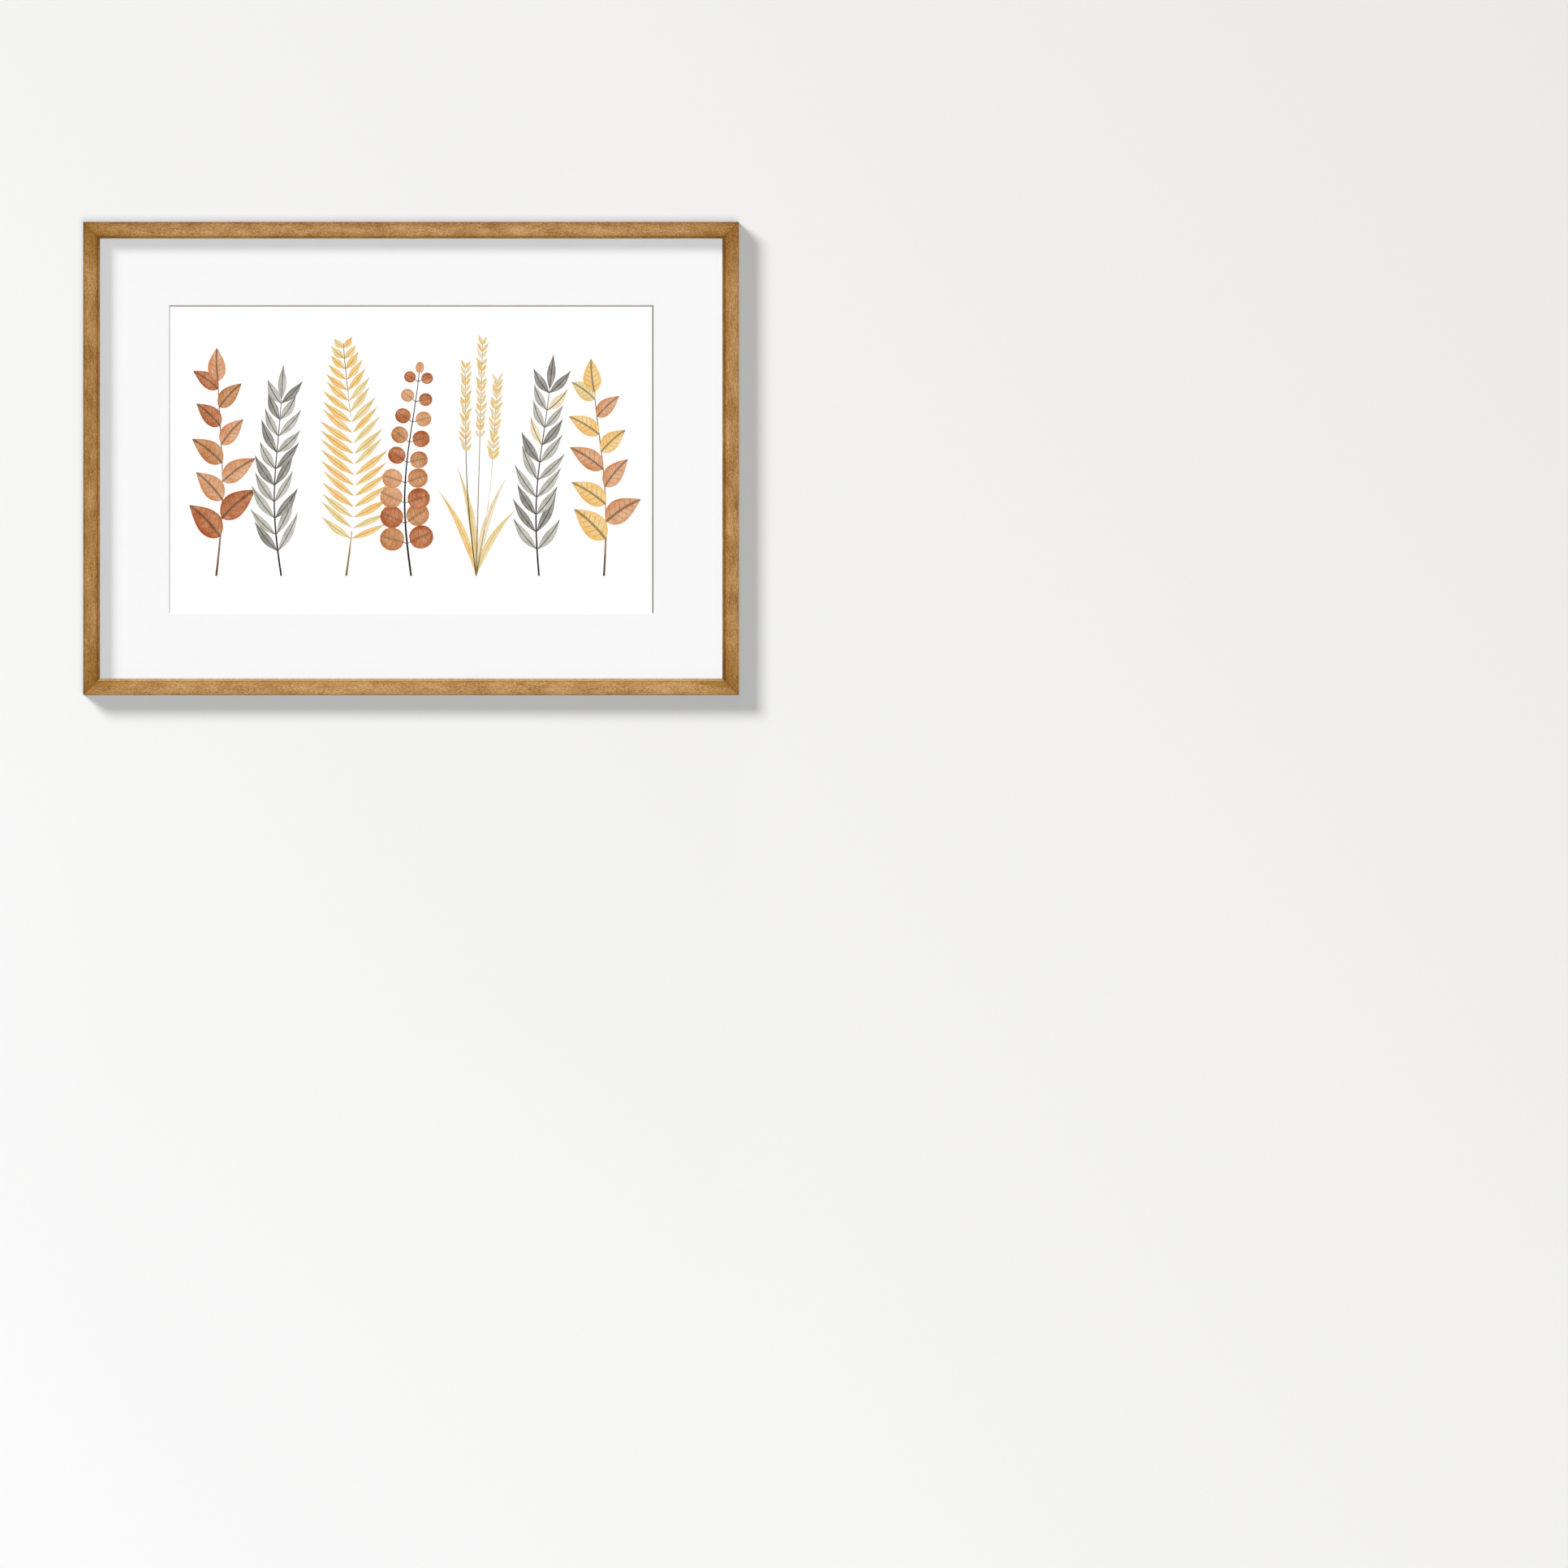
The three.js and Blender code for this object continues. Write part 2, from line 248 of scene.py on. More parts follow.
# Rails
# Four lengths of one moulding, milled from a fine-grained hardwood, stained a warm brown and lacquered
# to a satin, then mitred, glued and nailed. A small rounded bead runs along the sight edge, behind a
# crease, and the back and the rebate are left as bare wood.
STATION = 6 * MM  # spacing of the cross-sections that the hand-sanded unevenness follows
UNEVEN = 0.05 * MM
SANDED_ALONG, SANDED_ACROSS = 22 * MM, 9 * MM  # how far the unevenness runs
noise.seed_set(7)  # an unset seed would give another unevenness in each run
FACE_CUTS = (1.5 * MM, 2.5 * MM, 5 * MM, 8.5 * MM, 11 * MM, 12.4 * MM, 13 * MM)  # across the face
MITRE_CUTS = (0.25 * MM, 1.2 * MM, 5 * MM, 14 * MM, 26 * MM, 42 * MM)  # from the mitre, along
MITRE_EASE = 0.985  # the end section is this much smaller, which softens the joint's edges
WELD = 0.001 * MM  # points closer than this are one

RAILS = {
    # side: quarter turns about Y, painted light and shade of the whole rail against the others (lighter at
    # the bottom and darker at the sides, as light from above falls on them), curl of the figure, and the
    # painted highlight on the bead
    "bottom": (0, 0.025, 1.10, 0.70),
    "left": (1, -0.078, 0.85, 0.0),
    "top": (2, -0.036, 1.15, 0.0),
    "right": (3, -0.068, 0.90, 0.0),
}
STAIN_AND_SHADE = {
    # side: how much the front is darkened at distances in mm across it, from the outer edge over the face
    # to the bead's edge at 13.8, the crease at 14.0 and the bead beyond. It is partly stain and partly
    # painted light and shade, which differs from side to side as light from above falls: the edges and the
    # crease are darker where they face away from it, and the top's face is a little lighter where the
    # value is below 0.
    "bottom": ((0, 0.35), (1.5, 0.10), (2.5, 0), (12.4, 0), (13, 0.5), (13.8, 0), (15.7, 0)),
    "left": ((0, 0.85), (1.5, 0.15), (2.5, 0), (11, 0), (12.4, 0.12), (13.8, 0.5), (14, 1.0),
             (14.3, 0.2), (15.7, 0)),
    "top": ((0, 0.45), (1.5, 0.27), (2.5, 0.15), (5, -0.02), (8.5, -0.13), (11, -0.03), (13, 0.06),
            (13.8, 0.2), (14, 0.5), (14.3, 0.7), (15.7, 0.25)),
    "right": ((0, 0.3), (1.5, 0), (8.5, -0.02), (11, 0), (12.4, 0.28), (13.8, 1.0), (14, 1.2),
              (14.3, 0.45), (15.7, 0.2)),
}
SIDE_STAIN = 0.30  # on the outer and inner sides
FRONT_DEEP = 3 * MM  # the front's own shape, from its foremost point back
SAWN_APART = (1.3, 0.21)  # metres along and across, between the places in the wood of two rails
JOINT = 0.01 * MM  # half the joint at a mitre, which is glued tight
outer_left, outer_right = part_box("rail_left")[0][0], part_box("rail_right")[1][0]
outer_bottom, outer_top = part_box("rail_bottom")[0][2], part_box("rail_top")[1][2]
outer_middle = (outer_bottom + outer_top) / 2
rail_depth = -front_y
rail_width = outer_top - sight_top
lip_back = 12.6 * MM  # from the wall to the back of the lip
rebate_width = rail_width - 5 * MM  # the wood behind the lip
crease_at = rail_width - 1.7 * MM  # across the rail from its outer edge


def solid_copy(node):
    """A merged copy of a CAD node's mesh, with its flat faces joined up again."""
    shape = bmesh.new()
    shape.from_mesh(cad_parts[node].data)
    bmesh.ops.remove_doubles(shape, verts=shape.verts, dist=WELD)
    bmesh.ops.dissolve_limit(shape, angle_limit=math.radians(0.5), verts=shape.verts, edges=shape.edges)
    return shape


def add_piece(name, mesh, material, nodes, smooth_below=20):
    """A finished mesh as a piece of the object, which stands for its CAD nodes. Edges turned by less
    than smooth_below degrees are shaded smooth."""
    made = bpy.data.objects.new(name, mesh)
    bpy.context.scene.collection.objects.link(made)
    mesh.materials.clear()
    mesh.materials.append(material)
    for face in mesh.polygons:
        face.use_smooth = True
    mesh.set_sharp_from_angle(angle=math.radians(smooth_below))
    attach(made, "root")
    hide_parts(*nodes)
    return made


def to_mesh(name, shape):
    """Ends a bmesh as a mesh."""
    mesh = bpy.data.meshes.new(name)
    shape.to_mesh(mesh)
    shape.free()
    return mesh


def cut(shape, point, normal):
    """Cuts edges into a shape along a plane."""
    bmesh.ops.bisect_plane(
        shape,
        geom=[*shape.verts, *shape.edges, *shape.faces],
        plane_co=point,
        plane_no=normal,
        dist=0.002 * MM,
    )


def stain_and_shade_at(side, across, out):
    """How much stain and painted shade a point of the section has."""
    if out < rail_depth - FRONT_DEEP:
        return SIDE_STAIN
    steps = [(at * MM, stain_and_shade) for at, stain_and_shade in STAIN_AND_SHADE[side]]
    for (low, at_low), (high, at_high) in zip(steps, steps[1:]):
        if across <= high:
            return at_low + (at_high - at_low) * max(0.0, across - low) / (high - low)
    return steps[-1][1]


def rail_mesh(side, seed):
    """A rail cut into short stations, each a little uneven, with the wood's own coordinates, and its
    stain, painted shade and painted highlight, on its vertices."""
    turn, painted_tone, curl, painted_bead_highlight = RAILS[side]
    length = (outer_right - outer_left) if turn % 2 == 0 else (outer_top - outer_bottom)
    origin = {
        "bottom": (0, 0, outer_bottom),
        "left": (outer_left, 0, outer_middle),
        "top": (0, 0, outer_top),
        "right": (outer_right, 0, outer_middle),
    }[side]
    place = Matrix.Translation(origin) @ Matrix.Rotation(math.radians(90 * turn), 4, "Y")
    shape = solid_copy("rail_" + side)
    bmesh.ops.transform(shape, matrix=place.inverted(), verts=shape.verts)
    for across in FACE_CUTS:
        cut(shape, (0, 0, across), (0, 0, 1))
    for end in (-1, 1):
        for reach in MITRE_CUTS:
            cut(shape, (end * (length / 2 - reach), 0, 0), (end, 0, 1))
    count = int(length / STATION)
    for i in range(1, count):
        along = (i / count - 0.5) * length
        if abs(along) < length / 2 - rail_width - MITRE_CUTS[2]:
            cut(shape, (along, 0, 0), (1, 0, 0))
    cut(shape, (0, 0, 0), (1, 0, 0))

    face_raw = shape.faces.layers.float.new("raw")
    for face in shape.faces:
        middle = face.calc_center_median()
        behind = face.normal.y > 0.9 and -middle.y < 0.5 * MM
        inside = -middle.y < lip_back + 0.1 * MM and middle.z > 0.5 * MM
        face[face_raw] = 1.0 if behind or inside else 0.0
    for name in ("grain", "stain_and_painted_light", "rail"):
        shape.verts.layers.float_vector.new(name)
    grain, stain_and_painted_light, rail = shape.verts.layers.float_vector.values()
    middle_across, middle_out = rail_width / 2, rail_depth / 2
    for vertex in shape.verts:
        along, across, out = vertex.co.x, vertex.co.z, -vertex.co.y
        to_mitre = length / 2 - across - abs(along)
        vertex[grain] = (along + SAWN_APART[0] * seed, across + SAWN_APART[1] * seed, out)
        on_bead = across > crease_at - 0.3 * MM and out > rail_depth - FRONT_DEEP
        inner = across / rail_width
        reach = 0.8 + 0.2 * inner if turn % 2 else 0.25 + 0.75 * inner
        darkening = reach * max(0.0, 1 - to_mitre / MITRE_CUTS[-1]) ** 1.5
        # stain with painted shade, stain gathered at the mitre, and the painted highlight on the bead
        vertex[stain_and_painted_light] = (stain_and_shade_at(side, across, out), darkening, painted_bead_highlight * on_bead)
        # the rail's painted light and shade against the others, and the curl of its figure
        vertex[rail] = (painted_tone, curl, 0.0)
        if to_mitre < 0.3 * MM and to_mitre < MITRE_CUTS[0]:
            across = middle_across + (across - middle_across) * MITRE_EASE
            out = middle_out + (out - middle_out) * MITRE_EASE
            along = math.copysign(length / 2 - across - JOINT, along)
            vertex.co = (along, -out, across)
            vertex[stain_and_painted_light] = (0.9, 0.0, 0.0)
        elif out > lip_back + MM:
            wave = noise.noise_vector((along / SANDED_ALONG, across / SANDED_ACROSS, 7.0 * seed))
            vertex.co.y -= UNEVEN * wave.y * (1 if out > rail_depth - 2 * MM else 0)
            vertex.co.z += UNEVEN * wave.z * (1 if across < MM else 0.5)
    bmesh.ops.transform(shape, matrix=place, verts=shape.verts)
    return to_mesh("rail_" + side, shape)


def stained_hardwood():
    """A fine-grained hardwood under stain and satin lacquer: short curly flecks with long fibres below
    them, darker blotches, stain gathered in the mitres, darkening in the edges and the crease that is
    partly stain and partly painted shade, painted light and shade per rail and a painted highlight on a
    bead."""
    material, add = new_material("stained hardwood in satin lacquer")
    grain = add("Attribute", attribute_name="grain")["Vector"]
    stain_and_painted_light = add("SeparateXYZ", [add("Attribute", attribute_name="stain_and_painted_light")["Vector"]])
    rail = add("SeparateXYZ", [add("Attribute", attribute_name="rail")["Vector"]])
    raw = add("Attribute", attribute_name="raw")["Fac"]

    # The fibres wander across the rail over a few centimetres, which slants the flecks.
    wander = add("TexNoise", {"Scale": 1 / (34 * MM), "Detail": 1.5, "Vector": grain})
    bent = add("VectorMath", [wander["Color"], (0, 14 * MM, 5 * MM), grain], operation="MULTIPLY_ADD")[0]

    def fibres(length, width, detail, roughness):
        """Noise drawn out to fleck length by fleck width."""
        drawn = add("VectorMath", [bent, (1 / length, 1 / width, 1 / width)], operation="MULTIPLY")
        return add(
            "TexNoise", {"Scale": 1.0, "Detail": detail, "Roughness": roughness, "Vector": drawn[0]}
        )["Fac"]

    flecks = fibres(1.9 * MM, 0.75 * MM, 3.5, 0.72)
    streaks = fibres(20 * MM, 1.0 * MM, 2.0, 0.55)
    blotches = fibres(24 * MM, 11 * MM, 2.0, 0.5)
    pores = fibres(2.6 * MM, 0.42 * MM, 1.0, 0.5)

    centred = add("Math", [flecks, 0.5], operation="SUBTRACT")[0]
    curled = add("Math", [centred, rail[1]], operation="MULTIPLY")[0]
    # each rail is made lighter or darker by its painted light and shade
    toned = add("Math", [curled, 1.4, rail[0]], operation="MULTIPLY_ADD")[0]
    streaked = add("Math", [streaks, 0.42, toned], operation="MULTIPLY_ADD")[0]
    blotched = add("Math", [blotches, 0.52, streaked], operation="MULTIPLY_ADD")[0]
    browns = [(0.18, 0x7A511E), (0.36, 0x986F3C), (0.48, 0xA67D4C), (0.72, 0xC49F6B)]
    wood = add("ValToRGB", [blotched], stops=browns)[0]
    pored = add("MapRange", [pores, 0.60, 0.74, 0, 0.30])[0]
    wood = add("MixRGB", [pored, wood, rgba(0x6A451B)])[0]

    # Stain gathers towards the mitres, unevenly. The edges and the crease are darkened partly by stain and
    # partly by painted shade, more on the sides that face away from the light. More darkening takes out
    # the blue first and then the green, as a dye does.
    uneven = add("MapRange", [blotches, 0.3, 0.7, 0.25, 1.15])[0]
    darkening = add("Math", [uneven, stain_and_painted_light[1], stain_and_painted_light[0]], operation="MULTIPLY_ADD")[0]
    dye_and_shade = add("Gamma", [rgba(0xBCA660), darkening])[0]
    wood = add("MixRGB", [1.0, wood, dye_and_shade], blend_type="MULTIPLY")[0]

    # A painted highlight along the bottom rail's bead, where light from above falls on its rounded edge,
    # in a lighter brown broken by the flecks.
    painted_bead_highlight = add("Math", [stain_and_painted_light[2], flecks], operation="MULTIPLY")[0]
    wood = add("MixRGB", [painted_bead_highlight, wood, rgba(0xE2BE86)])[0]

    bare = add("ValToRGB", [blotched], stops=[(0.25, 0xB79A6C), (0.50, 0xCDB284), (0.75, 0xDAC59C)])[0]
    colour = add("MixRGB", [raw, wood, bare])[0]
    sheen = add("MapRange", [flecks, 0, 1, 0.52, 0.36])[0]
    sheen = add("Math", [raw, 0.35, sheen], operation="MULTIPLY_ADD")[0]
    relief = add("Bump", {"Strength": 0.5, "Distance": 0.12 * MM, "Height": pores})[0]
    relief = add("Bump", {"Strength": 0.4, "Distance": 0.25 * MM, "Height": flecks, "Normal": relief})[0]
    lacquer = {"IOR": 1.5, "Specular IOR Level": 0.35, "Roughness": sheen}
    surface = add("BsdfPrincipled", {"Base Color": colour, "Normal": relief, **lacquer})
    add("OutputMaterial", [surface[0]])
    return material


hardwood = stained_hardwood()
for seed, side in enumerate(RAILS, start=1):
    mesh = rail_mesh(side, seed)
    moulding = add_piece("moulding_" + side, mesh, hardwood, ["rail_" + side], 32)
    moulding.visible_diffuse = False  # the photograph's shade on the wall and mat is a neutral grey


# Pane
# A sheet of 2 mm clear glass with its cut edges just seamed, standing on the bottom rail's rebate
# behind the lip. It lets nearly all the light through and mirrors only a little.
PANE_SEAM = 0.25 * MM
GLASS_IOR = 1.5


def eased_copy(node, offset, sharper_than=30):
    """A copy of a CAD node with its sharp edges rounded over."""
    shape = solid_copy(node)
    joins = [edge for edge in shape.edges if len(edge.link_faces) == 2]
    sharp = [edge for edge in joins if edge.calc_face_angle() > math.radians(sharper_than)]
    bmesh.ops.bevel(
        shape, geom=sharp, offset=offset, segments=2, profile=0.6, affect="EDGES", clamp_overlap=True
    )
    return shape


def clear_glass():
    """Float glass: seen through, with the faint mirror of its two faces. Light isn't bent in such a
    thin sheet, so its back face mirrors by the inverse IOR, as its front face does."""
    material, add = new_material("clear float glass")
    clear = add("BsdfTransparent", {"Color": (1, 1, 1, 1)})
    mirror = add("BsdfAnisotropic", {"Roughness": 0.02})  # the glossy shader, alike all round
    behind = add("NewGeometry")["Backfacing"]
    bending = add("MapRange", [behind, 0, 1, GLASS_IOR, 1 / GLASS_IOR])[0]
    share = add("Fresnel", {"IOR": bending})[0]
    both = add("MixShader", [share, clear[0], mirror[0]])
    add("OutputMaterial", [both[0]])
    return material


pane = to_mesh("pane", eased_copy("glazing_pane", PANE_SEAM))
add_piece("pane", pane, clear_glass(), ["glazing_pane"])


# Mat
# A board of white cotton pulp faced with smooth paper, which lies on the print and holds it off the
# glass. Its window is cut with a blade at 45 degrees, so the core shows as a thin slanted line.
MAT_EASE = 0.06 * MM
# painted shade on the cut core, by side: darkest on the right, grey along the top, and almost none on the
# left and bottom
CORE_PAINTED_SHADE = {"left": 0.0, "right": 1.0, "bottom": 0.05, "top": 0.62}


def window_mat():
    """The board with its window, its cut core told from its facing on each face of the mesh, and the
    painted shade of each side of the core.
    """
    shape = eased_copy("window_mat", MAT_EASE)
    shape.normal_update()
    for name in ("core", "painted_tone"):
        shape.faces.layers.float.new(name)
    core, shown = shape.faces.layers.float.values()
    for face in shape.faces:
        turned, inside = face.normal, face.calc_center_median()
        if -0.85 < turned.y < -0.5 and abs(inside.x) < 0.25 and sight_bottom < inside.z < sight_top:
            if abs(turned.x) > abs(turned.z):
                side = "right" if turned.x < 0 else "left"
            else:
                side = "top" if turned.z < 0 else "bottom"
            face[core] = 1.0
            face[shown] = CORE_PAINTED_SHADE[side]
    return to_mesh("bevelled_mat", shape)


def mat_board():
    """Cotton board with a smooth white facing, and a warm white core where the window is cut, painted with
    a warm grey shade on its right and top sides.
    """
    material, add = new_material("white cotton mat board")
    place = add("TexCoord")["Object"]
    core = add("Attribute", attribute_name="core")["Fac"]
    painted_tone = add("Attribute", attribute_name="painted_tone")["Fac"]
    pulp = add("TexNoise", {"Scale": 1 / (0.9 * MM), "Detail": 3.0, "Vector": place})["Fac"]
    cloudy = add("TexNoise", {"Scale": 1 / (45 * MM), "Detail": 1.0, "Vector": place})["Fac"]
    facing = add("MixRGB", [cloudy, rgba(0xEFEFEF), rgba(0xEDEDED)])[0]
    # the core's warm white, darkened towards a warm grey by its painted shade
    core_with_painted_shade = add("MixRGB", [painted_tone, rgba(0xF5F3F1), rgba(0x857B70)])[0]
    colour = add("MixRGB", [core, facing, core_with_painted_shade])[0]
    relief = add("Bump", {"Strength": 0.04, "Distance": 0.03 * MM, "Height": pulp})[0]
    surface = add(
        "BsdfPrincipled",
        {"Roughness": 0.9, "Specular IOR Level": 0.15, "Base Color": colour, "Normal": relief},
    )
    add("OutputMaterial", [surface[0]])
    return material


add_piece("bevelled_mat", window_mat(), mat_board(), ["window_mat"], smooth_below=5)


# Print
# A sheet of heavy matt paper behind the mat's window, printed with a plain row of pressed sprigs in
# pencil and wash colours: each leaf is a shape of its own, with its ribs and its hatching in the ink.
sheet_low, sheet_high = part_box("print_sheet")
sheet_middle = (sheet_low[2] + sheet_high[2]) / 2
TERRACOTTA, CLAY, RUST = 0xD79E74, 0xC68B5D, 0xB87048
OCHRE, STRAW, SAND = 0xF0C67F, 0xE8CF94, 0xEBD9B6
WARM_GREY, SLATE, CHARCOAL = 0xBAB7AE, 0x8E8B84, 0x37322D
SMOOTH_STEP = {"interpolation_type": "SMOOTHSTEP"}
drawn = random.Random(11)
shapes = []  # bottom to top: outline, ink, base, angle, length, half width, bend, rib, pairs of veins


def ovate(t):
    """Broadest below its middle, with a short tip."""
    return math.sin(math.pi * t**0.72) ** 0.95


def lance(t):
    """Slim, with a long tip."""
    return math.sin(math.pi * t**0.85) ** 1.25


def coin(t):
    """Round."""
    return math.sqrt(max(0.0, 1 - (2 * t - 1) ** 2))


def add_leaf(base, angle, length, width, ink, swell, bend=0.0, rib=0.5, veins=0, steps=12):
    """A leaf from its base along an angle, which swells by the curve swell and is bent sideways by bend.
    Its rib is as dark as rib, with pairs of veins."""
    half = width / 2
    ahead = Vector((math.cos(angle), math.sin(angle)))
    aside = Vector((-math.sin(angle), math.cos(angle)))
    edges = []
    for side in (-1, 1):
        line = []
        for i in range(1, steps):
            t = i / steps
            bow = bend * 4 * t * (1 - t)
            line.append(base + ahead * length * t + aside * half * (bow + side * swell(t)))
        edges.append(line)
    line = [base, *edges[0], base + ahead * length, *reversed(edges[1])]
    shapes.append((line, ink, base, angle, length, half, bend, rib, veins))


def add_stem(points, width, ink=CHARCOAL):
    """A stem through points, tapering to its tip."""
    left, right = [], []
    for i, point in enumerate(points):
        behind, ahead = points[max(0, i - 1)], points[min(len(points) - 1, i + 1)]
        aside = (ahead - behind).orthogonal().normalized()
        half = width / 2 * (1 - 0.65 * i / (len(points) - 1))
        left.append(point + aside * half)
        right.append(point - aside * half)
    run = points[-1] - points[0]
    angle = math.atan2(run.y, run.x)
    line = [*right, *reversed(left)]
    shapes.append((line, ink, points[0], angle, run.length, width / 2, 0.0, 0.0, 0))


def stem_points(foot, height, lean, sway, count=14):
    """Points up a stem that leans and sways."""
    return [
        Vector((foot.x + lean * t + sway * math.sin(math.pi * t * 1.3), foot.y + height * t))
        for t in (i / (count - 1) for i in range(count))
    ]


def along_stem(points, t):
    """The point at share t of a stem, and the stem's direction there."""
    place = t * (len(points) - 1)
    i = min(int(place), len(points) - 2)
    step = points[i + 1] - points[i]
    return points[i] + step * (place - i), math.atan2(step.y, step.x)


def vary(value, share=0.1):
    """The value, up to a share more or less."""
    return value * (1 + drawn.uniform(-share, share))


def stations(points, first, last, count):
    """Evenly spaced stations up a stem: their number, share of the stem, point and direction."""
    for i in range(count):
        t = first + (last - first) * i / (count - 1)
        yield i, t, *along_stem(points, t)


def one_of(inks):
    """One of the inks, by chance."""
    return inks[drawn.randrange(len(inks))]


def broad_sprig(foot, height, lean, inks):
    """Alternate broad leaves, larger below, with one at the tip."""
    points = stem_points(foot, height * 0.86, lean, 4 * MM)
    add_stem(points, 2.0 * MM, 0x6B4A33)
    for i, t, at, heading in stations(points, 0.20, 0.96, 9):
        size = 1.06 - 0.42 * t
        side = -1 if i % 2 else 1
        angle = heading + side * math.radians(vary(50, 0.14))
        ink = one_of(inks)
        length, width = vary(44 * MM * size), vary(23 * MM * size)
        add_leaf(at, angle, length, width, ink, ovate, -side * 0.16, rib=0.75, veins=7, steps=16)
    at, heading = along_stem(points, 1.0)
    add_leaf(at, heading, 32 * MM, 17 * MM, inks[0], ovate, 0.1, rib=0.75, veins=7, steps=16)


def narrow_sprig(foot, height, lean, inks):
    """Paired narrow leaves that lie close along the stem, each with a dark rib."""
    points = stem_points(foot, height * 0.84, lean, -5 * MM)
    add_stem(points, 1.7 * MM)
    for _, t, at, heading in stations(points, 0.14, 0.98, 10):
        for side in (-1, 1):
            angle = heading + side * math.radians(vary(34, 0.2))
            ink = one_of(inks)
            length, width = vary(40 * MM * (1.05 - 0.35 * t)), vary(8.4 * MM)
            add_leaf(at, angle, length, width, ink, lance, side * 0.35, rib=1.0)
    at, heading = along_stem(points, 1.0)
    add_leaf(at, heading, 34 * MM, 8 * MM, inks[0], lance, rib=1.0)


def feathered_sprig(foot, height, lean, inks):
    """A frond: leaflets in close pairs that shorten towards the tip."""
    points = stem_points(foot, height, lean, 7 * MM)
    add_stem(points, 1.8 * MM, 0x7A5A2C)
    for _, t, at, heading in stations(points, 0.16, 0.98, 19):
        reach = math.sin(math.pi * (0.22 + 0.74 * t)) ** 0.8
        for side in (-1, 1):
            angle = heading + side * math.radians(vary(62 - 22 * t, 0.06))
            ink = one_of(inks)
            length, width = vary(36 * MM * reach + 4 * MM, 0.05), vary(6.6 * MM)
            add_leaf(at, angle, length, width, ink, lance, side * 0.25, steps=10)


def round_sprig(foot, height, lean, inks):
    """Round leaves in pairs on short stalks, thinning to buds."""
    points = stem_points(foot, height * 0.93, lean, -7 * MM)
    add_stem(points, 2.0 * MM, 0x5A4234)
    for _, t, at, heading in stations(points, 0.16, 0.96, 9):
        size = vary(25 * MM * (1.06 - 0.62 * t), 0.06)
        for side in (-1, 1):
            angle = heading + side * math.radians(vary(66, 0.12))
            reach = at + Vector((math.cos(angle), math.sin(angle))) * 4 * MM
            add_stem([at, reach], 1.0 * MM, 0x5A4234)
            base = reach - (reach - at) * 0.2
            add_leaf(base, angle, size, size * 0.94, one_of(inks), coin, rib=0.45, veins=5, steps=18)
    at, heading = along_stem(points, 1.0)
    add_leaf(at, heading, 11 * MM, 8 * MM, inks[-1], coin, rib=0.4)


def seeding_grass(foot, height, lean, inks):
    """Three grass stems with loose seed heads, and long blades from the foot."""
    for blade in range(4):
        side = -1 if blade % 2 else 1
        angle = math.radians(90 + side * (10 + 7 * blade))
        length, ink = vary(height * (0.50 - 0.06 * blade)), inks[blade % len(inks)]
        add_leaf(foot, angle, length, 6.5 * MM, ink, lance, -side * 1.6, rib=0.35, steps=18)
    for n, (spread, share) in enumerate(((-17, 0.90), (2, 1.0), (19, 0.84))):
        points = stem_points(foot, height * share, lean + spread * MM, 3 * MM * (n - 1))
        add_stem(points, 1.2 * MM, 0x8A7440)
        for i, _, at, heading in stations(points, 0.60, 1.0, 15):
            for side in (-1, 1):
                angle = heading + side * math.radians(vary(30, 0.3))
                length, width = vary(10 * MM, 0.15), vary(3.3 * MM)
                add_leaf(at, angle, length, width, inks[(i + n) % len(inks)], lance, rib=0.6, steps=8)


FOOT = sheet_middle - 112 * MM
ROW = (
    # the sprig, its place in mm right of the middle, height and lean in mm, and inks
    (broad_sprig, -186, 216, 5, (TERRACOTTA, CLAY, TERRACOTTA, RUST)),
    (narrow_sprig, -124, 200, -4, (WARM_GREY, SLATE, WARM_GREY)),
    (feathered_sprig, -62, 222, 3, (OCHRE, OCHRE, STRAW)),
    (round_sprig, 0, 208, 2, (RUST, CLAY, TERRACOTTA)),
    (seeding_grass, 62, 220, 4, (STRAW, SAND, OCHRE)),
    (narrow_sprig, 122, 212, 6, (SLATE, WARM_GREY, SAND)),
    (broad_sprig, 184, 204, -6, (OCHRE, TERRACOTTA, STRAW)),
)
for make, across, height, lean, inks in ROW:
    make(Vector((across * MM, FOOT)), height * MM, lean * MM, inks)


